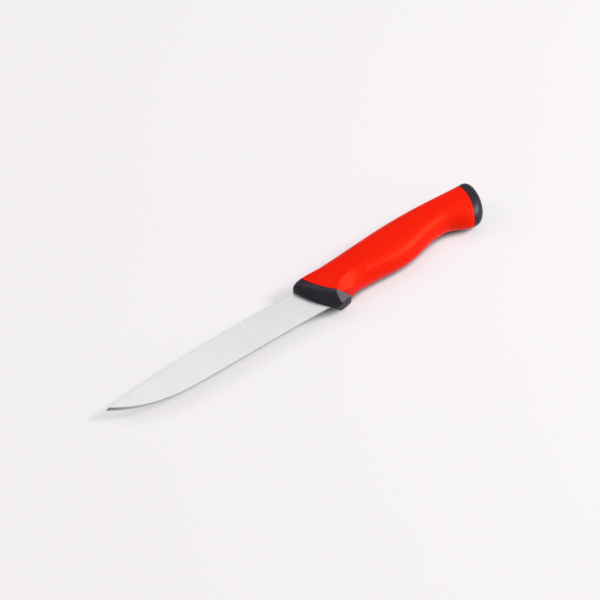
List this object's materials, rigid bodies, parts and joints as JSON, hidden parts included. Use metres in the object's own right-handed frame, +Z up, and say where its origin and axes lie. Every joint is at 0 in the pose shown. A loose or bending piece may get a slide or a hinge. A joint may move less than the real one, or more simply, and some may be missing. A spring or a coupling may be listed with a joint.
{
  "type": "vegetable knife",
  "caption": "Fixed-blade vegetable knife with a straight ground steel blade and a moulded handle: a hard dark collar with finger guard, a soft red grip and a rounded dark butt.",
  "frame": {"origin": "middle of the knife's box, on the surface that it lies on", "axes": "+X from the tip to the butt, +Y from the edge to the spine, +Z up through the knife lying on its side"},
  "size_m": [0.2336, 0.0268, 0.0166],
  "materials": {
    "blade_steel": "fine satin grind with a polished cutting bevel",
    "hard_plastic": "fine moulded texture, near black",
    "soft_elastomer": "satin soft-touch, red"
  },
  "bodies": {
    "root": {"blade": "blade_steel", "handle_core": "hard_plastic", "soft_grip": "soft_elastomer"}
  },
  "joints": []
}
